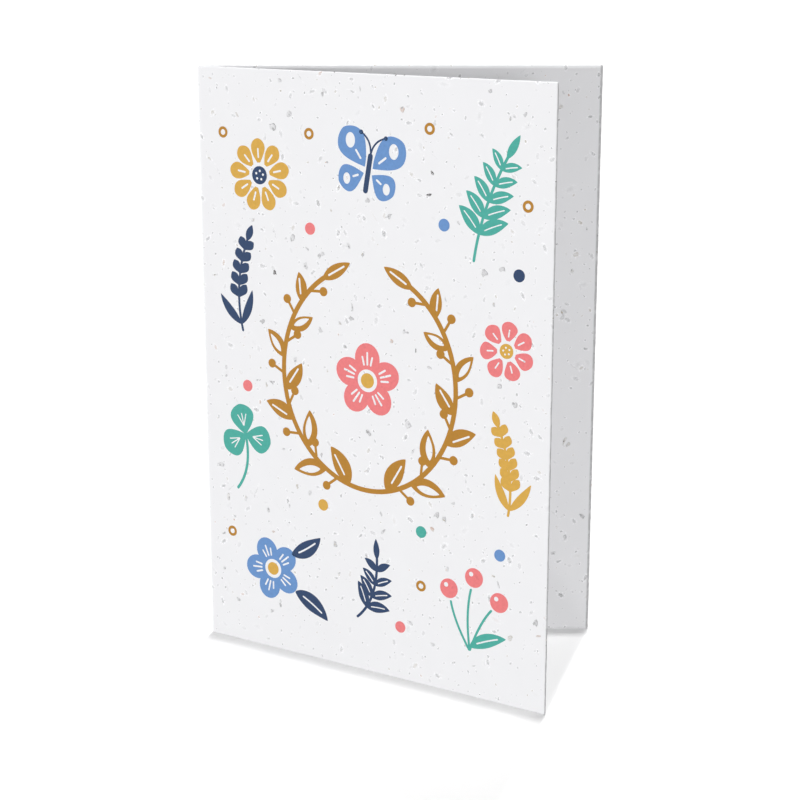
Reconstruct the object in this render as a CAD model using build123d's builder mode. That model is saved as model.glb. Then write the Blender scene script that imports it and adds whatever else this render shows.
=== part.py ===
from build123d import *
import os
from math import cos, radians, sin, tan

# Greeting card: one sheet of thick plantable paper, scored down its middle and folded once.
# It stands open on its lower edges, with the fold upright and the covers spread towards +X.
# The front cover faces -Y, and the origin is under the middle of the card, on its base.

# Driving dimensions, in millimetres and degrees
card_width = 101.0  # closed card, from the back of the fold to the free edge
card_height = 150.0
sheet_thickness = 0.8
opening_angle = 33.0  # between the two covers
fold_inside_radius = 0.3
score_bead_swell = 0.2  # how much the bead's radius exceeds the fold's inside radius
score_bead_bite = 0.05  # how far the bead sinks into the inside of the fold
score_bead_foot = 0.3  # hollow where the bead runs out onto each cover
rim_radius = 0.25  # softened edge that the cutting leaves all round the sheet

# The fold in plan: its bend, the straight run of each cover, and where the bend stands
half_angle = radians(opening_angle / 2)
fold_outside_radius = fold_inside_radius + sheet_thickness
cover_run = card_width - fold_outside_radius
reach = cover_run * cos(half_angle) - fold_inside_radius * sin(half_angle)
bend_x = (fold_outside_radius - reach) / 2
bead_x = bend_x + score_bead_swell - score_bead_bite

# Where the outer faces would meet if the fold were sharp, and their far ends
fold_corner = Vector(bend_x - fold_outside_radius / sin(half_angle), 0)
outer_face_length = fold_outside_radius / tan(half_angle) + cover_run
along_bisector = Vector(outer_face_length, 0)
front_edge = fold_corner + along_bisector.rotate(Axis.Z, -opening_angle / 2)
back_edge = fold_corner + along_bisector.rotate(Axis.Z, opening_angle / 2)

with BuildPart() as card:
    with BuildSketch() as section:
        # The sheet in plan: its outer face, thickened inwards
        with BuildLine():
            FilletPolyline(back_edge, fold_corner, front_edge, radius=fold_outside_radius)
            offset(amount=sheet_thickness, side=Side.LEFT)
        make_face()
        # The bead that the scoring rule presses up along the inside of the fold
        with Locations((bead_x, 0)):
            Circle(fold_inside_radius + score_bead_swell)
        fillet(section.vertices().sort_by_distance((bead_x, 0))[:2], radius=score_bead_foot)
    extrude(amount=card_height)

    # The cut edges: all round the top and bottom, and up both free sides
    ends = card.faces().filter_by(Axis.Z).edges()
    free_sides = card.edges().filter_by(Axis.Z).sort_by(Axis.X)[-4:]
    fillet(ends + free_sides, radius=rim_radius)

card.part.label = "folded_card"
os.makedirs("parts", exist_ok=True)
export_step(card.part, "parts/folded_card.step")
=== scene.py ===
import random
from collections import namedtuple
from math import copysign, cos, log, pi, radians, sin, sqrt, tau

import bmesh
import bpy
from bpy.props import FloatProperty, FloatVectorProperty, IntProperty, PointerProperty
from mathutils import Matrix, Vector, noise
from mathutils.bvhtree import BVHTree
from mathutils.geometry import delaunay_2d_cdt


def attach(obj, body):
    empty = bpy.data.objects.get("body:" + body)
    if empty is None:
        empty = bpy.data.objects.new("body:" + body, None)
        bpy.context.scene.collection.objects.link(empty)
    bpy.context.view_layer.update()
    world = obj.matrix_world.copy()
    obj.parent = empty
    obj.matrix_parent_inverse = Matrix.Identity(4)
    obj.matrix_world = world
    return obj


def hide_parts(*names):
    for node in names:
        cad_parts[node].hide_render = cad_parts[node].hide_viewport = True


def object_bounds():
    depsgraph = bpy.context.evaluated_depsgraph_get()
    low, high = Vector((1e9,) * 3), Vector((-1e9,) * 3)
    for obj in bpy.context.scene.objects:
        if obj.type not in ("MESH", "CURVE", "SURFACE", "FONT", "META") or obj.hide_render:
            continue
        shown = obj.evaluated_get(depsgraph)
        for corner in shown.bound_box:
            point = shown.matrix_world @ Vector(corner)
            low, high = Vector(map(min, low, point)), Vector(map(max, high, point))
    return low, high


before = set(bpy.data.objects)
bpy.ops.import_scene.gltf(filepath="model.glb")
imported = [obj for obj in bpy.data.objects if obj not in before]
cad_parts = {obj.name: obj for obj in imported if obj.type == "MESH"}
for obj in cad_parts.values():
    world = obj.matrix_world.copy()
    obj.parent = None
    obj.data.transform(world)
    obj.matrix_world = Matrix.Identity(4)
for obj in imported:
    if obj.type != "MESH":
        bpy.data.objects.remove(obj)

bl_info = {
    "name": "Greeting card",
    "version": (1, 0, 0),
    "blender": (4, 5, 0),
    "location": "View3D > Sidebar > Greeting Card",
    "description": "Folds a card of plantable paper, prints its front cover and sets it in a small studio",
    "category": "Object",
}

MM = 0.001
BODY = "root"
SHEET_MAP = "sheet_mm"  # the unfolded sheet in millimetres, with the fold at zero across
PAINTED_EDGE_SHADE = "cut_edge"  # how much painted shade greys the cut edges and the pressed border
BIT_TONE = "bit_tone"  # colour of each larger bit of plant
EDGE_SHADE_LEVELS = 1.0, 0.4, 0.1  # painted shade on the free edges, the standing edges and the top, strongest on the free edges
SHADED_SHARE = 0.85  # of the pressed border, out to the cut, that takes painted shade
BEND_CELLS = 14  # of the mesh across each half of the bend
BEND_REACH = 2.5  # of the bend and the bead's feet along a cover, in outer fold radii
BEAD_FOOT = 0.3  # how softly the bead runs out into the covers, in bead radii
SHARP = radians(60)  # corners of the cut that are softened
WANDER_SLOW, WANDER_QUICK = 6 * MM, 1.4 * MM  # lengths over which the cut wanders
WANDER_MIDDLE, SLOW_SHARE, QUICK_SHARE = 0.45, 0.35, 0.45  # of the furthest that it wanders
INSIDE_SHIFT = 517.0  # keeps the inside's flecks apart from the outside's on that map
CAD_BOX = [list(corner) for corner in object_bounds()]


def linear(hex_colour):
    """An sRGB hex colour as linear red, green and blue."""
    channels = [int(hex_colour[i:i + 2], 16) / 255 for i in (1, 3, 5)]
    return [c / 12.92 if c <= 0.04045 else ((c + 0.055) / 1.055) ** 2.4 for c in channels]


def length_setting(name, description, millimetres):
    """A length that a user may change, stored in metres."""
    return FloatProperty(name=name, description=description, default=millimetres * MM, min=0, unit="LENGTH")


def colour_setting(name, description, hex_colour):
    """A colour that a user may change, stored as linear light."""
    return FloatVectorProperty(
        name=name, description=description, default=linear(hex_colour), subtype="COLOR", min=0, max=1
    )


def angle_setting(name, description, degrees):
    """An angle that a user may change, stored in radians."""
    return FloatProperty(name=name, description=description, default=radians(degrees), subtype="ANGLE")


def level_setting(name, description, level):
    """A strength of light that a user may change."""
    return FloatProperty(name=name, description=description, default=level, min=0)


class SheetSettings(bpy.types.PropertyGroup):
    """Sizes of the folded sheet."""

    width: length_setting("Cover width", "Closed card, from the back of the fold to the free edge", 101)
    height: FloatProperty(
        name="Cover height", description="Along the fold",
        default=CAD_BOX[1][2] - CAD_BOX[0][2], unit="LENGTH",
    )
    thickness: length_setting("Thickness", "Through the sheet", 0.8)
    opening: angle_setting("Opening", "Angle between the covers", 33)
    fold_radius: length_setting("Fold radius", "Inside of the fold", 0.3)
    bead_radius: length_setting("Bead radius", "Ridge that scoring leaves inside the fold", 0.5)
    bead_lead: length_setting("Bead lead", "How far the bead's middle lies inside the bend's", 0.15)
    rim: length_setting("Rim", "Softened corner of the cut edges", 0.28)
    burr: length_setting("Burr", "Border that the cut presses thin on the inside", 0.75)
    press: length_setting("Press", "How much thinner the sheet is at its cut edge", 0.3)
    ragged: length_setting("Ragged edge", "How far fibres let the cut wander inwards", 0.16)
    cell: length_setting("Cell", "Spacing of the sheet's mesh", 1.0)


class PaperSettings(bpy.types.PropertyGroup):
    """Colours of the plantable paper."""

    pulp: colour_setting("Pulp", "Unprinted paper", "#F3F3F5")
    chaff: colour_setting("Chaff", "Grey bits of stalk", "#969697")
    straw: colour_setting("Straw", "Tan bits of petal", "#B3A78F")
    rust: colour_setting("Rust", "Orange bits of petal", "#C08A5E")
    husk: colour_setting("Husk", "Dark bits of seed husk", "#4A4745")
    bits: IntProperty(
        name="Bits", description="Larger bits pressed into each face of each cover", default=125, min=0
    )
    edge_bits: IntProperty(
        name="Edge bits", description="Bits that the knife cut through", default=32, min=0
    )
    seed: IntProperty(name="Seed", description="Starts the scatter of the larger bits", default=4)


class InkSettings(bpy.types.PropertyGroup):
    """Inks of the front cover."""

    gold: colour_setting("Gold", "Flat ochre gold", "#B5802C")
    navy: colour_setting("Navy", "Deep blue", "#2A4063")
    coral: colour_setting("Coral", "Pink red", "#EC7F81")
    teal: colour_setting("Teal", "Green blue", "#4BAB9E")
    blue: colour_setting("Blue", "Cornflower blue", "#6993CA")
    mustard: colour_setting("Mustard", "Light ochre", "#D8A94B")
    film: length_setting("Film", "How far the ink stands off the paper", 0.02)


class StageSettings(bpy.types.PropertyGroup):
    """Camera and light."""

    azimuth: angle_setting("Azimuth", "Camera, round the card", 15.73)
    elevation: angle_setting("Elevation", "Camera, above the floor", 14.33)
    distance: length_setting("Distance", "Camera, from the card's middle", 453.5)
    aim_right: length_setting("Aim right", "Camera's aim, right of the card's middle", 3.63)
    aim_down: length_setting("Aim down", "Camera's aim, below the card's middle", 7.29)
    lens: FloatProperty(
        name="Lens", description="Focal length", default=81.07, subtype="DISTANCE_CAMERA", unit="CAMERA"
    )
    ambient: level_setting("Ambient", "The room's even light", 0.145)
    key: level_setting("Key", "Softbox low at the left", 1.94)
    fill: level_setting("Fill", "Softbox low at the right", 0.9)
    rear: level_setting("Rear", "Softbox low behind", 1.2)
    front: level_setting("Front", "Softbox high in front", 0.53)
    back: level_setting("Back", "Softbox high behind", 0.68)
    overhead: level_setting("Overhead", "Softbox above", 1.69)
    low_spread: angle_setting("Low spread", "Width of the low softboxes in the card's sky", 10)
    high_spread: angle_setting("High spread", "Width of the high softboxes", 1.5)
    top_spread: angle_setting("Top spread", "Width of the softbox above", 2)
    floor: colour_setting("Floor", "White studio floor", "#F4F4F4")
    lift: level_setting("Floor lift", "Added to the floor where the camera sees it", 0.1)
    bounce: level_setting("Bounce", "The floor's even light on the card", 0.68)


# Shared helpers

def add_node(tree, kind, inputs=None, **settings):
    """Adds one node with its properties and inputs, where a node stands for its first output."""
    node = tree.nodes.new(kind)
    for name, value in settings.items():
        setattr(node, name, value)
    for key, value in (inputs or {}).items():
        if isinstance(value, bpy.types.Node):
            value = value.outputs[0]
        if isinstance(value, bpy.types.NodeSocket):
            tree.links.new(value, node.inputs[key])
        else:
            node.inputs[key].default_value = value
    return node


def new_material(name):
    """An empty node material and its tree."""
    material = bpy.data.materials.new(name)
    material.use_nodes = True
    material.node_tree.nodes.clear()
    return material, material.node_tree


def thicken(bm, depth):
    """Gives a flat sheet of faces a depth and turns its faces outwards."""
    raised = bmesh.ops.extrude_face_region(bm, geom=bm.faces[:], use_keep_orig=True)["geom"]
    moved = [g for g in raised if isinstance(g, bmesh.types.BMVert)]
    bmesh.ops.translate(bm, verts=moved, vec=(0, 0, depth))
    bmesh.ops.recalc_face_normals(bm, faces=bm.faces[:])


def new_object(name, bm, material):
    """Turns a finished bmesh into an object in the scene."""
    mesh = bpy.data.meshes.new(name)
    bm.to_mesh(mesh)
    bm.free()
    mesh.materials.append(material)
    made = bpy.data.objects.new(name, mesh)
    bpy.context.scene.collection.objects.link(made)
    return made


def place_piece(name, bm, material):
    """A finished bmesh as a piece that rides on the card."""
    piece = new_object(name, bm, material)
    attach(piece, BODY)
    return piece


# The folded sheet

def bend_centre(size):
    """Where the fold's centre stands on X, so that the card's box is centred on the origin."""
    half = size.opening / 2
    outside = size.fold_radius + size.thickness
    reach = (size.width - outside) * cos(half) - size.fold_radius * sin(half)
    return (outside - reach) / 2


def outer_point(size, place):
    """Plan of the outer face at a place across the sheet: minus on the front cover, plus on the back."""
    half = size.opening / 2
    outside = size.fold_radius + size.thickness
    side = -1 if place < 0 else 1
    turn = min(abs(place) / outside, 1) * (pi / 2 - half)
    bend = Vector((-cos(turn), side * sin(turn))) * outside
    run = Vector((cos(half), side * sin(half))) * max(abs(place) - outside, 0)
    return Vector((bend_centre(size), 0)) + bend + run


def fold_zone(size):
    """How far from the fold's back the bend and the bead's feet reach along a cover."""
    return BEND_REACH * (size.fold_radius + size.thickness)


def inner_point(size, place):
    """Plan of the inner face at a place across the sheet, with the bead along the fold."""
    half = size.opening / 2
    side = -1 if place < 0 else 1
    zone = fold_zone(size)
    inward = Vector((sin(half), -side * cos(half))) * size.thickness
    if abs(place) >= zone:
        return outer_point(size, place) + inward
    zone_edge = abs((outer_point(size, side * zone) + inward).y)
    y = zone_edge * place / zone
    cover = (abs(y) * cos(half) - size.fold_radius) / sin(half)
    bead = size.bead_lead + sqrt(max(size.bead_radius ** 2 - y ** 2, 0))
    foot = size.bead_radius * BEAD_FOOT
    rise = (cover + bead + sqrt((cover - bead) ** 2 + foot ** 2)) / 2
    return Vector((bend_centre(size) + rise, y))


def cover_matrix(size, side=-1):
    """From a cover's own axes (out from the fold, up, off its outer face) to the card's frame."""
    half = size.opening / 2
    outside = size.fold_radius + size.thickness
    run = Vector((cos(half), side * sin(half), 0))
    out = Vector((-sin(half), side * cos(half), 0))
    start = Vector((bend_centre(size), 0, 0)) + (out - run) * outside
    matrix = Matrix((run, (0, 0, 1), out)).transposed().to_4x4()
    matrix.translation = start
    return matrix


def stepped(step, spans):
    """How far a number of cells reaches across spans that are each divided evenly."""
    reach = 0
    for cells, length in spans:
        reach += length * min(max(step, 0), cells) / cells
        step -= cells
    return reach


def flat_sheet(size):
    """The unfolded sheet as a grid, place across by height, with finer cells at the bend and border."""
    half_bend = BEND_CELLS, fold_zone(size)
    crease, border = (1, size.burr * (1 - SHADED_SHARE)), (1, size.burr * SHADED_SHARE)
    cover = size.width - half_bend[1] - size.burr
    across = half_bend, (round(cover / size.cell), cover), crease, border
    middle = round(size.height / size.cell), size.height - 2 * size.burr
    up = border, crease, middle, crease, border
    columns = 2 * sum(cells for cells, _ in across)
    rows = sum(cells for cells, _ in up)
    bm = bmesh.new()
    bmesh.ops.create_grid(bm, x_segments=columns, y_segments=rows, size=0.5)
    for vert in bm.verts:
        vert.co.x = copysign(stepped(abs(vert.co.x) * columns, across), vert.co.x)
        vert.co.y = stepped((vert.co.y + 0.5) * rows, up)
    return bm


def cut_wander(size, along, seed):
    """How far the cut edge lies inside the true line at a place along it."""
    slow = noise.noise(Vector((along / WANDER_SLOW, seed, 0)))
    quick = noise.noise(Vector((along / WANDER_QUICK, seed, 7)))
    return size.ragged * min(max(WANDER_MIDDLE + SLOW_SHARE * slow + QUICK_SHARE * quick, 0), 1)


def fold_vertex(size, flat):
    """Takes a point of the flat sheet to its place on the folded card."""
    place, height, depth = flat
    border = 1.5 * size.rim  # the softened corner moves with the cut
    if size.width - abs(place) < border:
        place -= (1 if place > 0 else -1) * cut_wander(size, height, 1 if place > 0 else 2)
    if height < border:
        height += cut_wander(size, place, 3)
    elif size.height - height < border:
        height -= cut_wander(size, place, 4)
    inset = min(size.width - abs(place), height, size.height - height)
    pressed = size.press * max(1 - inset / size.burr, 0)
    share = -depth / size.thickness * (1 - pressed / size.thickness)
    plan = outer_point(size, place).lerp(inner_point(size, place), share)
    return Vector((plan.x, plan.y, height))


class CARD_OT_fold_sheet(bpy.types.Operator):
    """Cuts, thickens, softens and folds the card's one sheet"""

    bl_idname = "greeting_card.fold_sheet"
    bl_label = "Fold the sheet"

    def execute(self, context):
        size = context.scene.card_sheet
        bm = flat_sheet(size)
        thicken(bm, -size.thickness)
        cut = [edge for edge in bm.edges if edge.calc_face_angle() > SHARP]
        bmesh.ops.bevel(
            bm, geom=cut, offset=size.rim, segments=3, profile=0.5, affect="EDGES", material=-1
        )
        sheet_map = bm.loops.layers.uv.new(SHEET_MAP)
        cut_edge = bm.verts.layers.float.new(PAINTED_EDGE_SHADE)
        for vert in bm.verts:
            place, height, depth = vert.co
            # Painted shade greys the cut itself and the pressed border inside it, most on the free edges
            # and least on the top
            inner = depth < -size.thickness / 2
            start, end = (size.burr * SHADED_SHARE, size.burr) if inner else (0, size.rim)
            insets = size.width - abs(place), height, size.height - height
            shade_share = [min(max((end - inset) / (end - start), 0), 1) for inset in insets]
            vert[cut_edge] = max(shade_level * share for shade_level, share in zip(EDGE_SHADE_LEVELS, shade_share))
        zone = fold_zone(size)
        for face in bm.faces:
            # The cut itself takes the outside's part of the map
            inside = face.calc_center_median().z < -0.6 * size.thickness
            face.smooth = abs(face.normal.z) < 0.99 or abs(face.calc_center_median().x) < zone
            for loop in face.loops:
                place, height, _ = loop.vert.co / MM
                loop[sheet_map].uv = (place + (INSIDE_SHIFT if inside else 0), height)
        for vert in bm.verts:
            vert.co = fold_vertex(size, vert.co)
        bmesh.ops.recalc_face_normals(bm, faces=bm.faces[:])
        sheet = place_piece("card_sheet", bm, plantable_paper(context.scene.card_paper))
        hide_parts("folded_card")
        return {"FINISHED"}


# The paper's look

FleckLayer = namedtuple("FleckLayer", "cell longest shortest slim share darkest torn soft seed")

# Sizes in millimetres, with at most one bit of plant in each cell
FLECK_LAYERS = (
    # Dust of stalk and husk
    FleckLayer(
        cell=2.8, longest=0.44, shortest=0.16, slim=1.8, share=0.63,
        darkest=0.62, torn=0.28, soft=0.35, seed=1,
    ),
    # Chips of stalk and petal
    FleckLayer(
        cell=5.4, longest=0.98, shortest=0.38, slim=2.3, share=0.74,
        darkest=0.57, torn=0.60, soft=0.35, seed=2,
    ),
    # Bits that lie deeper in the sheet and show dimly
    FleckLayer(
        cell=7.5, longest=1.50, shortest=0.60, slim=2.5, share=0.45,
        darkest=0.15, torn=0.80, soft=0.80, seed=3,
    ),
    # Fibres
    FleckLayer(
        cell=8.5, longest=1.90, shortest=0.80, slim=14.0, share=0.28,
        darkest=0.28, torn=0.90, soft=0.30, seed=4,
    ),
)


def fleck_tint(paper):
    """A node group that gives the tint of bits of plant in the pulp, with a painted highlight round some:
    white where there is neither.
    """
    name = "plant_flecks"
    if name in bpy.data.node_groups:
        return bpy.data.node_groups[name]
    tree = bpy.data.node_groups.new(name, "ShaderNodeTree")
    tree.interface.new_socket("Tint", in_out="OUTPUT", socket_type="NodeSocketColor")
    tree.interface.new_socket("Relief", in_out="OUTPUT", socket_type="NodeSocketFloat")
    sheet = add_node(tree, "ShaderNodeUVMap", uv_map=SHEET_MAP).outputs["UV"]
    # Richer and poorer patches from the vat, tears and crumbs, each so many millimetres across
    richness, stir, crumbs = [
        add_node(
            tree, "ShaderNodeTexNoise", {"Vector": sheet, "Scale": 1 / across, "Detail": detail},
            noise_dimensions="2D",
        )
        for across, detail in ((22, 1), (0.55, 3), (0.42, 1))
    ]
    whole = add_node(
        tree, "ShaderNodeMapRange",
        {"Value": crumbs, "From Min": 0.36, "From Max": 0.56, "To Min": 0.3, "To Max": 1},
        interpolation_type="SMOOTHSTEP",
    )
    highlight_patches = add_node(
        tree, "ShaderNodeMapRange",
        {"Value": crumbs, "From Min": 0.48, "From Max": 0.6, "To Min": 0, "To Max": 0.36},
    )
    tint, relief = (1, 1, 1, 1), 0.0
    for layer in FLECK_LAYERS:
        torn = add_node(
            tree, "ShaderNodeVectorMath",
            {0: stir.outputs["Color"], 1: (layer.torn,) * 3, 2: sheet}, operation="MULTIPLY_ADD",
        )
        cells = add_node(
            tree, "ShaderNodeTexVoronoi", {"Vector": torn, "Scale": 1 / layer.cell},
            voronoi_dimensions="2D",
        )
        chance = add_node(
            tree, "ShaderNodeTexWhiteNoise", {"Vector": cells.outputs["Position"], "W": layer.seed},
            noise_dimensions="4D",
        )
        pick = add_node(tree, "ShaderNodeSeparateColor", {0: chance.outputs["Color"]})
        shape = add_node(tree, "ShaderNodeSeparateColor", {0: cells.outputs["Color"]})
        local = add_node(
            tree, "ShaderNodeVectorMath", {0: torn, 1: cells.outputs["Position"]}, operation="SUBTRACT"
        )
        angle = add_node(tree, "ShaderNodeMath", {0: shape.outputs[0], 1: tau}, operation="MULTIPLY")
        turned_bit = add_node(
            tree, "ShaderNodeVectorRotate", {"Vector": local, "Angle": angle}, rotation_type="Z_AXIS"
        )
        slim = add_node(
            tree, "ShaderNodeMapRange",
            {"Value": shape.outputs[2], "To Min": 0.4 * layer.slim + 0.6, "To Max": layer.slim},
        )
        squeeze = add_node(tree, "ShaderNodeCombineXYZ", {"X": 1, "Y": slim})
        drawn = add_node(tree, "ShaderNodeVectorMath", {0: turned_bit, 1: squeeze}, operation="MULTIPLY")
        radius = add_node(tree, "ShaderNodeVectorMath", {0: drawn}, operation="LENGTH")
        size = add_node(
            tree, "ShaderNodeMapRange",
            {"Value": shape.outputs[1], "To Min": layer.shortest, "To Max": layer.longest},
        )
        reach = add_node(
            tree, "ShaderNodeMath", {0: radius.outputs["Value"], 1: size}, operation="DIVIDE"
        )
        body = add_node(
            tree, "ShaderNodeMapRange",
            {"Value": reach, "From Min": 1, "From Max": 1 - layer.soft, "To Min": 0, "To Max": 1},
            interpolation_type="SMOOTHSTEP",
        )
        likely = add_node(
            tree, "ShaderNodeMapRange",
            {
                "Value": richness, "From Min": 0.3, "From Max": 0.7,
                "To Min": layer.share * 0.6, "To Max": layer.share * 1.4,
            },
        )
        there = add_node(tree, "ShaderNodeMath", {0: pick.outputs[0], 1: likely}, operation="LESS_THAN")
        depth = add_node(
            tree, "ShaderNodeMapRange",
            {"Value": pick.outputs[1], "To Min": layer.darkest * 0.15, "To Max": layer.darkest},
        )
        strength = add_node(tree, "ShaderNodeMath", {0: there, 1: depth}, operation="MULTIPLY")
        shown = add_node(tree, "ShaderNodeMath", {0: body, 1: strength}, operation="MULTIPLY")
        amount = add_node(tree, "ShaderNodeMath", {0: shown, 1: whole}, operation="MULTIPLY")
        kind = add_node(tree, "ShaderNodeValToRGB", {0: pick.outputs[2]})
        kind.color_ramp.interpolation = "CONSTANT"
        kinds = ((0.0, paper.chaff), (0.82, paper.straw), (0.93, paper.rust), (0.955, paper.husk))
        while len(kind.color_ramp.elements) < len(kinds):
            kind.color_ramp.elements.new(0.5)
        for element, (position, colour) in zip(kind.color_ramp.elements, kinds):
            element.position = position
            element.color = (*colour, 1)
        mixed = add_node(tree, "ShaderNodeMix", {0: amount, 6: tint, 7: kind}, data_type="RGBA")
        # Painted highlight: a ring round each bit, paler than the pulp, in places
        highlight_reach = add_node(
            tree, "ShaderNodeMapRange",
            {"Value": reach, "From Min": 1.9, "From Max": 1.2, "To Min": 0, "To Max": 1},
            interpolation_type="SMOOTHSTEP",
        )
        around = add_node(tree, "ShaderNodeMath", {0: highlight_reach, 1: body}, operation="SUBTRACT")
        painted_highlight = add_node(tree, "ShaderNodeMath", {0: around, 1: strength}, operation="MULTIPLY")
        tint = add_node(
            tree, "ShaderNodeVectorMath",
            {0: painted_highlight, 1: highlight_patches, 2: mixed.outputs[2]}, operation="MULTIPLY_ADD",
        )
        relief = add_node(tree, "ShaderNodeMath", {0: relief, 1: amount}, operation="MAXIMUM")
    add_node(tree, "NodeGroupOutput", {"Tint": tint, "Relief": relief})
    return tree


def plantable_paper(paper):
    """Plantable paper, mould-made from recycled pulp: matt, off-white, with bits of stalk and petal."""
    material, tree = new_material("plantable_paper")
    flecks = add_node(tree, "ShaderNodeGroup", node_tree=fleck_tint(paper))
    sheet = add_node(tree, "ShaderNodeUVMap", uv_map=SHEET_MAP).outputs["UV"]
    # Pulp settles unevenly: faint clouds about 7 mm across
    clouds = add_node(tree, "ShaderNodeTexNoise", {"Vector": sheet, "Scale": 1 / 7, "Detail": 4})
    pulp = add_node(tree, "ShaderNodeMapRange", {"Value": clouds, "To Min": 0.985, "To Max": 1.015})
    base = add_node(tree, "ShaderNodeVectorMath", {0: paper.pulp, 1: pulp}, operation="MULTIPLY")
    tinted = add_node(
        tree, "ShaderNodeVectorMath", {0: base, 1: flecks.outputs["Tint"]}, operation="MULTIPLY"
    )
    # Painted shade greys the cut edges and the pressed border, in stretches about 2 mm long
    cut = add_node(tree, "ShaderNodeAttribute", attribute_name=PAINTED_EDGE_SHADE)
    stretches = add_node(tree, "ShaderNodeTexNoise", {"Vector": sheet, "Scale": 1 / 2, "Detail": 3})
    shade_share = add_node(tree, "ShaderNodeMath", {0: cut.outputs["Fac"], 1: stretches}, operation="MULTIPLY")
    grey = add_node(
        tree, "ShaderNodeMapRange", {"Value": shade_share, "From Max": 0.55, "To Min": 1, "To Max": 0.62}
    )
    edge_shaded = add_node(tree, "ShaderNodeVectorMath", {0: tinted, 1: grey}, operation="MULTIPLY")
    # Matted fibres about 0.5 mm across
    grain = add_node(tree, "ShaderNodeTexNoise", {"Vector": sheet, "Scale": 1 / 0.5, "Detail": 3})
    height = add_node(
        tree, "ShaderNodeMath", {0: flecks.outputs["Relief"], 1: 5, 2: grain}, operation="MULTIPLY_ADD"
    )
    bump = add_node(tree, "ShaderNodeBump", {"Height": height, "Strength": 0.25, "Distance": 0.03 * MM})
    shader = add_node(
        tree, "ShaderNodeBsdfPrincipled",
        {
            "Base Color": edge_shaded, "Roughness": 0.9, "IOR": 1.47, "Specular IOR Level": 0.25,
            "Normal": bump,
        },
    )
    add_node(tree, "ShaderNodeOutputMaterial", {"Surface": shader})
    return material


# The printed cover

Plate = namedtuple("Plate", "ink bare")  # marks that print, and marks that stay bare within them


def polar(centre, radius, angle):
    """The point at a distance and angle from a centre."""
    return Vector(centre) + Vector((cos(angle), sin(angle))) * radius


def bow(start, bend, end):
    """A stroke's line from start to end, drawn towards bend."""
    a, b, c = Vector(start), Vector(bend), Vector(end)
    return lambda t: a.lerp(b, t).lerp(b.lerp(c, t), t)


def straight(start, end):
    """A stroke's straight line."""
    return bow(start, (start + end) / 2, end)


def heading(line, t):
    """The direction of a line at a point along it."""
    return (line(min(t + 0.01, 1)) - line(max(t - 0.01, 0))).normalized()


def turned(direction, angle):
    """A direction turned anticlockwise."""
    return Matrix.Rotation(angle, 2) @ direction


def brush(marks, line, width, belly=None, full=0.8, steps=24):
    """Stamps a brush mark along a line: round-ended and even, or a leaf that is widest at belly."""
    strip = bmesh.ops.create_grid(marks, x_segments=steps, y_segments=1, size=0.5)["verts"]
    shares = [(1 - cos(pi * k / steps)) / 2 for k in range(steps + 1)]
    points = [line(t) for t in shares]
    passed = [0.0]
    for before, after in zip(points, points[1:]):
        passed.append(passed[-1] + (after - before).length)
    for vert in strip:
        k = round((vert.co.x + 0.5) * steps)
        if belly:
            half = width / 2 * max(sin(pi * shares[k] ** (log(0.5) / log(belly))), 0) ** full
        else:
            to_end = min(min(passed[k], passed[-1] - passed[k]) / (width / 2), 1)
            half = width / 2 * sqrt(1 - (1 - to_end) ** 2)
        across = turned(heading(line, shares[k]), pi / 2) * (half if vert.co.y > 0 else -half)
        vert.co = (*(points[k] + across), 0)


def spot(marks, centre, radius, squash=1.0, turn=0.0):
    """Stamps a round or oval spot."""
    place = Matrix.Translation((*centre, 0)) @ Matrix.Rotation(turn, 4, "Z")
    bmesh.ops.create_circle(
        marks, cap_ends=True, segments=26, radius=radius, matrix=place @ Matrix.Diagonal((1, squash, 1, 1))
    )


def leaf(plate, base, tip, width, sway=0.0, vein=0.0, belly=0.45):
    """A leaf with a bare vein, if the vein has a width."""
    base, tip = Vector(base), Vector(tip)
    side = turned(tip - base, pi / 2) * sway
    line = bow(base, (base + tip) / 2 + side, tip)
    brush(plate.ink, line, width, belly)
    if vein:
        brush(plate.bare, bow(line(0.2), line(0.5), line(0.8)), vein)


def daisy(plates, petal, eye, centre, radius, petals, turn=0.0):
    """Narrow petals round a small eye."""
    for k in range(petals):
        angle = turn + tau * k / petals
        reach = radius * (1 + 0.05 * sin(3.1 * k + turn))
        base, bend = polar(centre, 0.3 * radius, angle), polar(centre, 0.7 * radius, angle + 0.06)
        line = bow(base, bend, polar(centre, reach, angle))
        brush(plates[petal].ink, line, 1.35 * radius * sin(pi / petals), belly=0.62, full=0.55)
        brush(plates[petal].bare, bow(line(0.22), line(0.4), line(0.6)), 0.055 * radius)
    spot(plates[petal].bare, centre, 0.35 * radius)
    spot(plates[eye].ink, centre, 0.25 * radius)
    for k in range(5):
        spot(plates[eye].bare, polar(centre, 0.12 * radius, tau * k / 5 + turn), 0.035 * radius)


def blossom(plates, petal, eye, centre, radius, turn=0.0):
    """Five round petals with bare strokes, round a small eye."""
    for k in range(5):
        angle = turn + tau * k / 5
        spot(plates[petal].ink, polar(centre, 0.57 * radius, angle), 0.42 * radius, 0.9, angle)
        for lean, reach in ((-0.24, 0.66), (0.0, 0.76), (0.24, 0.66)):
            start = polar(centre, 0.4 * radius, angle + lean)
            end = polar(centre, reach * radius, angle + lean)
            brush(plates[petal].bare, straight(start, end), 0.055 * radius)
    spot(plates[petal].bare, centre, 0.3 * radius)
    spot(plates[eye].ink, centre, 0.2 * radius)


def fern(plate, base, bend, tip, pairs, leaflet, width=0.7):
    """A bowed stem with pairs of leaflets that shorten to the tip."""
    line = bow(base, bend, tip)
    brush(plate.ink, line, width)
    for k in range(pairs):
        t = 0.24 + 0.7 * k / pairs
        for side in (-1, 1):
            way = turned(heading(line, t), side * 0.95)
            reach = leaflet * (1 - 0.55 * t)
            vein = 0.3 if reach > 5 else 0
            leaf(plate, line(t), line(t) + way * reach, reach * 0.42, sway=-0.12 * side, vein=vein)
    leaf(plate, line(0.9), line(1.0) + heading(line, 1.0) * leaflet * 0.35, leaflet * 0.22)


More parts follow.
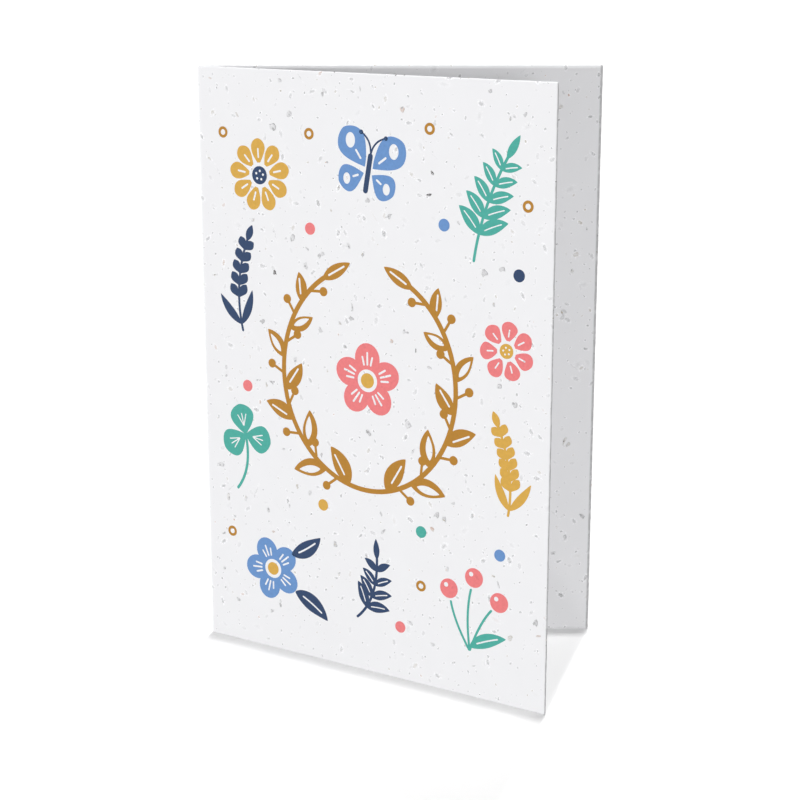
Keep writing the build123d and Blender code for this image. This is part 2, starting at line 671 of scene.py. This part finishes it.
def spike(plate, base, bend, tip, pairs, bud, first=0.36):
    """A bowed stem whose upper part carries pairs of small buds."""
    line = bow(base, bend, tip)
    brush(plate.ink, line, 0.65)
    for k in range(pairs):
        t = first + (1 - first) * k / pairs
        for side in (-1, 1):
            start = line(t)
            end = start + turned(heading(line, t), side * 0.62) * bud * (1 - 0.25 * t)
            leaf(plate, start, end, bud * 0.52, belly=0.62)
    leaf(plate, line(0.97), line(1.0) + heading(line, 1.0) * bud * 0.8, bud * 0.45, belly=0.5)
    for side in (-1, 1):
        start = line(0.08)
        tip = start + turned(heading(line, 0.1), side * 0.55) * bud * 2.1
        leaf(plate, start, tip, bud * 0.5, sway=0.1 * side)


def trefoil(plate, base, bend, centre, radius):
    """Three broad leaves at the top of a stem."""
    line = bow(base, bend, centre)
    brush(plate.ink, line, 0.75)
    way = heading(line, 1.0)
    centre = Vector(centre)
    for lean in (-1.95, 0.0, 1.95):
        out = turned(way, lean)
        blade = bow(centre, centre + out * radius * 0.5, centre + out * radius)
        brush(plate.ink, blade, radius * 0.92, belly=0.62, full=0.6)
        for sway in (-0.42, 0.0, 0.42):
            start = centre + out * radius * 0.28
            end = start + turned(out, sway) * radius * 0.42
            brush(plate.bare, straight(start, end), 0.32)


def butterfly(plates, wing, body, centre, span, turn=0.0):
    """Two pairs of spotted wings on a slim body."""
    up = turned(Vector((0, 1)), turn)
    centre = Vector(centre)
    for side in (-1, 1):
        for lean, reach, width, mark in ((0.78, 0.56, 0.36, 0.06), (2.05, 0.4, 0.3, 0.045)):
            way = turned(up, -side * lean)
            root = centre + way * span * 0.06
            tip = centre + way * span * reach
            brush(plates[wing].ink, straight(root, tip), span * width, belly=0.64, full=0.6)
            spot(plates[wing].bare, root.lerp(tip, 0.68), span * mark, 1.4)
            streak = bow(root.lerp(tip, 0.2), root.lerp(tip, 0.3), root.lerp(tip, 0.45))
            brush(plates[wing].bare, streak, span * 0.025)
        feeler = centre + up * span * 0.4 + turned(up, -side * pi / 2) * span * 0.16
        brush(plates[body].ink, bow(centre + up * span * 0.16, centre + up * span * 0.34, feeler), 0.45)
        spot(plates[body].ink, feeler, 0.55)
    spine = bow(centre - up * span * 0.24, centre, centre + up * span * 0.2)
    brush(plates[wing].bare, spine, span * 0.1)
    brush(plates[body].ink, spine, span * 0.062)


def berries(plates, fruit, stalk, base, heads, radius):
    """Round fruit with a bare glint, each on a stalk from one base."""
    for head in heads:
        head = Vector(head)
        middle = (Vector(base) + head) / 2 + turned(head - Vector(base), pi / 2) * 0.1
        stop = head + (middle - head).normalized() * radius * 1.2
        brush(plates[stalk].ink, bow(base, middle, stop), 0.6)
        spot(plates[fruit].ink, head, radius)
        spot(plates[fruit].bare, head + Vector((-0.32, 0.34)) * radius, 0.24 * radius)


def ring(plate, centre, radius):
    """A small ring."""
    spot(plate.ink, centre, radius)
    spot(plate.bare, centre, radius * 0.5)


def wreath(plate, centre, across, tall):
    """Two leafy boughs that cross at the bottom and nearly meet at the top."""
    centre = Vector(centre)
    for side in (-1, 1):
        def bough(t, side=side):
            swing = radians(-12 + 166 * t)
            return centre + Vector((side * across * sin(swing), -tall * cos(swing)))
        brush(plate.ink, bough, 1.25, steps=60)
        for k in range(8):
            t = 0.15 + 0.1 * k
            reach = 10.5 - 0.45 * k
            base = bough(t)
            tip = base + turned(heading(bough, t), side * (-0.72 if k % 2 else 0.78)) * reach
            leaf(plate, base, tip, reach * 0.46, sway=0.1 * side)
            if k % 4 in (0, 3):
                brush(plate.bare, bow(base.lerp(tip, 0.24), base.lerp(tip, 0.5), base.lerp(tip, 0.8)), 0.5)
            else:
                hollow = bow(base.lerp(tip, 0.2), base.lerp(tip, 0.52), base.lerp(tip, 0.84))
                brush(plate.bare, hollow, reach * 0.2, belly=0.45)
            stalk = bough(t + 0.05)
            bud = stalk + turned(heading(bough, t), side * (0.9 if k % 2 else -0.9)) * 4.2
            brush(plate.ink, bow(stalk, stalk.lerp(bud, 0.5), bud), 0.7)
            spot(plate.ink, bud, 1.15)
        leaf(plate, bough(0.97), bough(1.0) + heading(bough, 1.0) * 7, 3.4, vein=0.5)


def cover_design(plates):
    """The front cover in millimetres: across from the fold, and up from the base."""
    wreath(plates["gold"], (50.5, 76), 25, 28)
    blossom(plates, "coral", "mustard", (50.5, 76), 9.5, turn=radians(18))
    butterfly(plates, "blue", "navy", (51, 127), 22, turn=radians(-10))
    daisy(plates, "mustard", "navy", (19, 124), 9, 9, turn=0.2)
    fern(plates["teal"], (80, 108), (82, 122), (90, 135), 5, 9.5)
    spike(plates["navy"], (13, 84), (10, 96), (15, 108), 5, 4.6)
    daisy(plates, "coral", "mustard", (89, 88), 7.2, 7, turn=0.5)
    trefoil(plates["teal"], (10, 42), (15, 48), (13, 57), 8)
    spike(plates["mustard"], (90, 48), (92, 58), (87, 70), 6, 4.4, first=0.3)
    blossom(plates, "blue", "mustard", (21, 22), 8.6, turn=radians(40))
    leaf(plates["navy"], (28, 17), (38, 11), 4.6, sway=0.15, vein=0.45)
    leaf(plates["navy"], (27, 27), (36, 33), 4.2, sway=-0.15, vein=0.45)
    fern(plates["navy"], (47, 14), (54, 20), (53, 33), 4, 8)
    berries(plates, "coral", "teal", (80, 12), ((74, 27), (81, 31), (88, 26)), 2.5)
    leaf(plates["teal"], (80, 13), (90, 17), 3.6, sway=0.12, vein=0.4)
    for ink, centre in (("coral", (34, 112)), ("blue", (72, 116)), ("coral", (14, 70)), ("navy", (92, 106)),
                        ("blue", (88, 38)), ("mustard", (37, 42)), ("teal", (66, 40)), ("coral", (60, 14))):
        spot(plates[ink].ink, centre, 1.5)
    for centre in ((34, 135), (68, 138), (8, 134), (8, 30), (66, 26), (94, 122)):
        ring(plates["gold"], centre, 1.4)


def merged_field(plate):
    """Merges a plate's overlapping marks into one flat field and takes the bare marks out of it."""
    points, outlines = [], []
    for marks in plate:
        marks.normal_update()
        marks.verts.index_update()
        first = len(points)
        points += [vert.co.xy for vert in marks.verts]
        for face in marks.faces:
            order = [first + vert.index for vert in face.verts]
            outlines.append(order if face.normal.z > 0 else order[::-1])
    printed = len(plate.ink.faces)
    corners, _, facets, _, _, sources = delaunay_2d_cdt(points, [], outlines, 1, 1e-4)
    field = bmesh.new()
    verts = [field.verts.new((*corner, 0)) for corner in corners]
    for facet, source in zip(facets, sources):
        if source and max(source) < printed:
            field.faces.new([verts[i] for i in facet])
    bmesh.ops.delete(field, geom=[vert for vert in field.verts if not vert.link_faces], context="VERTS")
    return field


def ink_film(plate, size, film):
    """A closed film of ink, lying on the front cover and sunk a little into its fibres."""
    bm = merged_field(plate)
    sheet_map = bm.loops.layers.uv.new(SHEET_MAP)
    for face in bm.faces:
        for loop in face.loops:
            loop[sheet_map].uv = (-loop.vert.co.x, loop.vert.co.y)
    bmesh.ops.scale(bm, vec=(MM, MM, MM), verts=bm.verts[:])
    bmesh.ops.translate(bm, vec=(0, 0, -film / 2), verts=bm.verts[:])
    thicken(bm, 1.5 * film)
    bmesh.ops.transform(bm, matrix=cover_matrix(size), verts=bm.verts[:])
    return bm


def printing_ink(name, colour, paper):
    """Flat, opaque printing ink on uncoated paper: matt, a little uneven, with a hint of the flecks."""
    material, tree = new_material(name)
    flecks = add_node(tree, "ShaderNodeGroup", node_tree=fleck_tint(paper))
    sheet = add_node(tree, "ShaderNodeUVMap", uv_map=SHEET_MAP).outputs["UV"]
    # The fibres take ink unevenly, in patches about 0.8 mm across
    patches = add_node(tree, "ShaderNodeTexNoise", {"Vector": sheet, "Scale": 1 / 0.8, "Detail": 4})
    uptake = add_node(tree, "ShaderNodeMapRange", {"Value": patches, "To Min": 0.88, "To Max": 1.12})
    laid = add_node(tree, "ShaderNodeVectorMath", {0: colour, 1: uptake}, operation="MULTIPLY")
    hint = add_node(
        tree, "ShaderNodeMix", {0: 0.25, 6: (1, 1, 1, 1), 7: flecks.outputs["Tint"]}, data_type="RGBA"
    )
    tinted = add_node(tree, "ShaderNodeVectorMath", {0: laid, 1: hint.outputs[2]}, operation="MULTIPLY")
    bump = add_node(tree, "ShaderNodeBump", {"Height": patches, "Strength": 0.2, "Distance": 0.02 * MM})
    shader = add_node(
        tree, "ShaderNodeBsdfPrincipled",
        {
            "Base Color": tinted, "Roughness": 0.72, "IOR": 1.5, "Specular IOR Level": 0.3,
            "Normal": bump,
        },
    )
    add_node(tree, "ShaderNodeOutputMaterial", {"Surface": shader})
    return material


INKS = ("gold", "navy", "coral", "teal", "blue", "mustard")


class CARD_OT_print_cover(bpy.types.Operator):
    """Prints the front cover, one film for each ink"""

    bl_idname = "greeting_card.print_cover"
    bl_label = "Print the cover"

    def execute(self, context):
        scene = context.scene
        plates = {ink: Plate(bmesh.new(), bmesh.new()) for ink in INKS}
        cover_design(plates)
        for ink, plate in plates.items():
            film = ink_film(plate, scene.card_sheet, scene.card_inks.film)
            material = printing_ink(ink + "_ink", getattr(scene.card_inks, ink), scene.card_paper)
            place_piece("print_" + ink, film, material)
            plate.ink.free()
            plate.bare.free()
        return {"FINISHED"}


# The larger bits of plant

FOLD_MARGIN, FACE_MARGIN = 4 * MM, 2 * MM  # kept clear of bits along the fold and the other edges
FLAKE_LENGTH = 0.8, 2.3, 1.1  # shortest, longest and usual, in millimetres
FLAKE_SLIM = 0.35, 0.85  # width over length
FLAKE_THICK, CORE_THICK, CUT_THICK = 0.1 * MM, 0.14 * MM, 0.5 * MM
CORE_SIZE = 0.5, 0.45  # of a flake's length and width
CORE_SHIFT = 0.2  # how far a core lies from its flake's middle, in lengths and widths
CUT_LENGTH = 0.6, 1.5  # of the bits in the cut edges, in millimetres
CUT_FILL = 0.7, 1.05  # of the pressed edge's thickness that such a bit fills
CUT_INSET, CUT_MARGIN, CUT_FOLD_MARGIN = 0.25 * MM, 3 * MM, 6 * MM
CUT_ON_TOP = 0.4  # share of such bits that lie in the top edges, and not in the free ones
TEAR, TEAR_TURNS = 0.9, 2.2  # how deep and how often a flake's outline is torn
STRAW_FROM, RUST_FROM = 0.84, 0.97  # chaff comes below the first

# How clearly the bits show through the pulp, and the share of dark husk among them
Showing = namedtuple("Showing", "clear dark")
FLAKE_SHOWING = Showing((0.2, 0.6), 0.03)
CORE_SHOWING = Showing((0.4, 1.0), 0.1)
CUT_SHOWING = Showing((0.3, 0.8), 0.3)


def pressed_plant(paper):
    """Dried petal, stalk and husk under crumbs of pulp: matt chips, each of its own tone."""
    material, tree = new_material("pressed_plant")
    tone = add_node(tree, "ShaderNodeAttribute", attribute_name=BIT_TONE)
    place = add_node(tree, "ShaderNodeTexCoord").outputs["Object"]
    # Pulp clings to the bits in crumbs about 0.3 mm across
    crumbs = add_node(tree, "ShaderNodeTexNoise", {"Vector": place, "Scale": 1 / (0.3 * MM), "Detail": 2})
    skin = add_node(
        tree, "ShaderNodeMapRange",
        {"Value": crumbs, "From Min": 0.42, "From Max": 0.64, "To Min": 0, "To Max": 0.5},
    )
    veiled = add_node(
        tree, "ShaderNodeMix", {0: skin, 6: tone.outputs["Color"], 7: (*paper.pulp, 1)}, data_type="RGBA"
    )
    shader = add_node(
        tree, "ShaderNodeBsdfPrincipled",
        {"Base Color": veiled.outputs[2], "Roughness": 0.85, "IOR": 1.47, "Specular IOR Level": 0.25},
    )
    add_node(tree, "ShaderNodeOutputMaterial", {"Surface": shader})
    return material


class CARD_OT_press_bits(bpy.types.Operator):
    """Presses the larger bits of petal, stalk and husk into the sheet, clear of the print"""

    bl_idname = "greeting_card.press_bits"
    bl_label = "Press the bits of plant"

    def execute(self, context):
        scene = context.scene
        size, paper = scene.card_sheet, scene.card_paper
        dice = random.Random(paper.seed)
        printed = self.printed_area()
        bm = bmesh.new()
        bm.verts.layers.float_color.new(BIT_TONE)
        for side in (-1, 1):
            cover = cover_matrix(size, side)
            for depth in (0, -size.thickness):
                for _ in range(paper.bits):
                    long = dice.triangular(*FLAKE_LENGTH) * MM
                    wide = long * dice.uniform(*FLAKE_SLIM)
                    across = dice.uniform(FOLD_MARGIN, size.width - FACE_MARGIN)
                    up = dice.uniform(FACE_MARGIN, size.height - FACE_MARGIN)
                    place = cover @ Matrix.Translation((across, up, depth))
                    place @= Matrix.Rotation(dice.uniform(0, tau), 4, "Z")
                    shift = [dice.uniform(-CORE_SHIFT, CORE_SHIFT) * length for length in (long, wide)]
                    if printed.find_nearest(place.translation, long)[0] is None:
                        self.press(bm, place, (long, wide, FLAKE_THICK), FLAKE_SHOWING, paper, dice)
                        core = CORE_SIZE[0] * long, CORE_SIZE[1] * wide, CORE_THICK
                        place @= Matrix.Translation((*shift, 0))
                        self.press(bm, place, core, CORE_SHOWING, paper, dice)
        for _ in range(paper.edge_bits):
            cover = cover_matrix(size, dice.choice((-1, 1)))
            long = dice.uniform(*CUT_LENGTH) * MM
            end = size.thickness - size.press
            wide = dice.uniform(*CUT_FILL) * end
            if dice.random() < CUT_ON_TOP:
                across = dice.uniform(CUT_FOLD_MARGIN, size.width - CUT_MARGIN)
                place = Matrix.Translation((across, size.height - CUT_INSET, -end / 2))
                lie = Matrix.Rotation(pi / 2, 4, "X")
            else:
                up = dice.uniform(CUT_MARGIN, size.height - CUT_MARGIN)
                place = Matrix.Translation((size.width - CUT_INSET, up, -end / 2))
                lie = Matrix.Rotation(pi / 2, 4, "Z") @ Matrix.Rotation(pi / 2, 4, "X")
            self.press(bm, cover @ place @ lie, (long, wide, CUT_THICK), CUT_SHOWING, paper, dice)
        for face in bm.faces:
            face.smooth = True
        place_piece("plant_bits", bm, pressed_plant(paper))
        return {"FINISHED"}

    def printed_area(self):
        """All films of ink as one tree to measure from."""
        films = bmesh.new()
        for ink in INKS:
            films.from_mesh(bpy.data.objects["print_" + ink].data)
        tree = BVHTree.FromBMesh(films)
        films.free()
        return tree

    def tone(self, paper, dice, showing):
        """The colour of one bit: grey, tan or orange and partly hidden by pulp, or a dark husk."""
        kind, clear = dice.random(), dice.uniform(*showing.clear)
        if dice.random() < showing.dark:
            return (*paper.husk, 1)
        plant = paper.chaff if kind < STRAW_FROM else paper.straw if kind < RUST_FROM else paper.rust
        return (*Vector(paper.pulp).lerp(Vector(plant), clear), 1)

    def press(self, bm, place, sizes, showing, paper, dice):
        """One torn flake, half sunk in the face it lies on."""
        tone = self.tone(paper, dice, showing)
        flake = bmesh.new()
        bmesh.ops.create_uvsphere(flake, u_segments=9, v_segments=4, radius=0.5)
        tear = dice.uniform(0, 100)
        tones = flake.verts.layers.float_color.new(BIT_TONE)
        for vert in flake.verts:
            way = vert.co.xy.normalized() * TEAR_TURNS
            vert.co.xy = vert.co.xy * (1 + TEAR * noise.noise(Vector((*way, tear))))
            vert[tones] = tone
        bmesh.ops.transform(flake, matrix=place @ Matrix.Diagonal((*sizes, 1)), verts=flake.verts[:])
        mesh = bpy.data.meshes.new("plant_bit")
        flake.to_mesh(mesh)
        flake.free()
        bm.from_mesh(mesh)
        bpy.data.meshes.remove(mesh)


# The studio

# The way from the card towards each softbox, and the setting of its width
SOFTBOXES = {
    # Low, to light the covers and hardly touch the floor
    "key": ((-0.95, -0.3, 0.055), "low_spread"),
    "fill": ((0.31, -0.92, 0.055), "low_spread"),
    "rear": ((-0.4, 0.9, 0.055), "low_spread"),
    # High on both sides, so that each cover shades the floor between them
    "front": ((0.0, -0.39, 1.0), "high_spread"),
    "back": ((0.0, 0.39, 1.0), "high_spread"),
    # Nearly straight up, for the shadows at the foot
    "overhead": ((0.0, 0.028, 1.0), "top_spread"),
}


class CARD_OT_set_stage(bpy.types.Operator):
    """Sets the floor, the room's light, the softboxes and the camera"""

    bl_idname = "greeting_card.set_stage"
    bl_label = "Set the stage"

    def execute(self, context):
        scene = context.scene
        stage = scene.card_stage
        scene.view_settings.view_transform = "Standard"
        self.lay_floor(stage)
        self.light_room(scene, stage)
        for name, (side, width) in SOFTBOXES.items():
            spread = getattr(stage, width)
            self.hang_softbox(scene, name + "_softbox", Vector(side), getattr(stage, name), spread)
        self.aim_camera(scene, stage)
        return {"FINISHED"}

    def shown_rays(self, tree):
        """One for rays that show the backdrop itself, in the picture, in gloss or through glass."""
        path = add_node(tree, "ShaderNodeLightPath").outputs
        shown = path["Is Camera Ray"]
        for other in ("Is Glossy Ray", "Is Transmission Ray"):
            shown = add_node(tree, "ShaderNodeMath", {0: shown, 1: path[other]}, operation="MAXIMUM")
        return shown

    def lay_floor(self, stage):
        """A wide white floor that keeps the card's shadow."""
        bm = bmesh.new()
        bmesh.ops.create_grid(bm, x_segments=1, y_segments=1, size=40)
        material, tree = new_material("white_floor")
        paint = add_node(tree, "ShaderNodeBsdfDiffuse", {"Color": (*stage.floor, 1)})
        lift = add_node(tree, "ShaderNodeEmission", {"Strength": stage.lift})
        shown = add_node(tree, "ShaderNodeAddShader", {0: paint, 1: lift})
        # The card gets an even light from below, without the dark foot that its own shadow would give it
        bounce = add_node(tree, "ShaderNodeEmission", {"Strength": stage.bounce})
        look = add_node(tree, "ShaderNodeMixShader", {0: self.shown_rays(tree), 1: bounce, 2: shown})
        add_node(tree, "ShaderNodeOutputMaterial", {"Surface": look})
        floor = new_object("studio_floor", bm, material)

    def light_room(self, scene, stage):
        """An even room that looks plain white to the camera."""
        world = bpy.data.worlds.new("white_room")
        world.use_nodes = True
        tree = world.node_tree
        tree.nodes.clear()
        shown = self.shown_rays(tree)
        strength = add_node(
            tree, "ShaderNodeMapRange", {"Value": shown, "To Min": stage.ambient, "To Max": 1}
        )
        light = add_node(tree, "ShaderNodeBackground", {"Color": (1, 1, 1, 1), "Strength": strength})
        add_node(tree, "ShaderNodeOutputWorld", {"Surface": light})
        scene.world = world

    def hang_softbox(self, scene, name, side, strength, spread):
        """A wide softbox, far enough off to light the card evenly."""
        light = bpy.data.lights.new(name, "SUN")
        light.energy = strength
        light.angle = spread
        lamp = bpy.data.objects.new(name, light)
        lamp.rotation_euler = side.normalized().to_track_quat("Z", "Y").to_euler()
        scene.collection.objects.link(lamp)

    def aim_camera(self, scene, stage):
        """The photograph's view: level, from the right and a little above."""
        data = bpy.data.cameras.new("photo_camera")
        data.lens = stage.lens
        data.sensor_width = 36
        data.clip_start = 0.01
        camera = bpy.data.objects.new("photo_camera", data)
        camera.rotation_euler = (pi / 2 - stage.elevation, 0, stage.azimuth)
        axes = camera.rotation_euler.to_matrix()
        middle = Vector((0, 0, scene.card_sheet.height / 2))
        camera.location = middle + axes @ Vector((stage.aim_right, -stage.aim_down, stage.distance))
        scene.collection.objects.link(camera)
        scene.camera = camera


class VIEW3D_PT_greeting_card(bpy.types.Panel):
    """The card's steps and settings"""

    bl_label = "Greeting card"
    bl_space_type = "VIEW_3D"
    bl_region_type = "UI"
    bl_category = "Greeting Card"

    def draw(self, context):
        for step in STEPS:
            self.layout.operator(step.bl_idname)
        for name, group in SETTINGS.items():
            box = self.layout.box()
            for setting in group.__annotations__:
                box.prop(getattr(context.scene, name), setting)


SETTINGS = {
    "card_sheet": SheetSettings,
    "card_paper": PaperSettings,
    "card_inks": InkSettings,
    "card_stage": StageSettings,
}
STEPS = (CARD_OT_fold_sheet, CARD_OT_print_cover, CARD_OT_press_bits, CARD_OT_set_stage)


def register():
    """Registers the settings, steps and panel."""
    for cls in (*SETTINGS.values(), *STEPS, VIEW3D_PT_greeting_card):
        bpy.utils.register_class(cls)
    for name, group in SETTINGS.items():
        setattr(bpy.types.Scene, name, PointerProperty(type=group))


def unregister():
    """Takes them out again."""
    for name in SETTINGS:
        delattr(bpy.types.Scene, name)
    for cls in reversed((*SETTINGS.values(), *STEPS, VIEW3D_PT_greeting_card)):
        bpy.utils.unregister_class(cls)


def main():
    """Builds the card and its stage."""
    register()
    bpy.ops.greeting_card.fold_sheet()
    bpy.ops.greeting_card.print_cover()
    bpy.ops.greeting_card.press_bits()
    bpy.ops.greeting_card.set_stage()


if __name__ == "__main__":
    main()
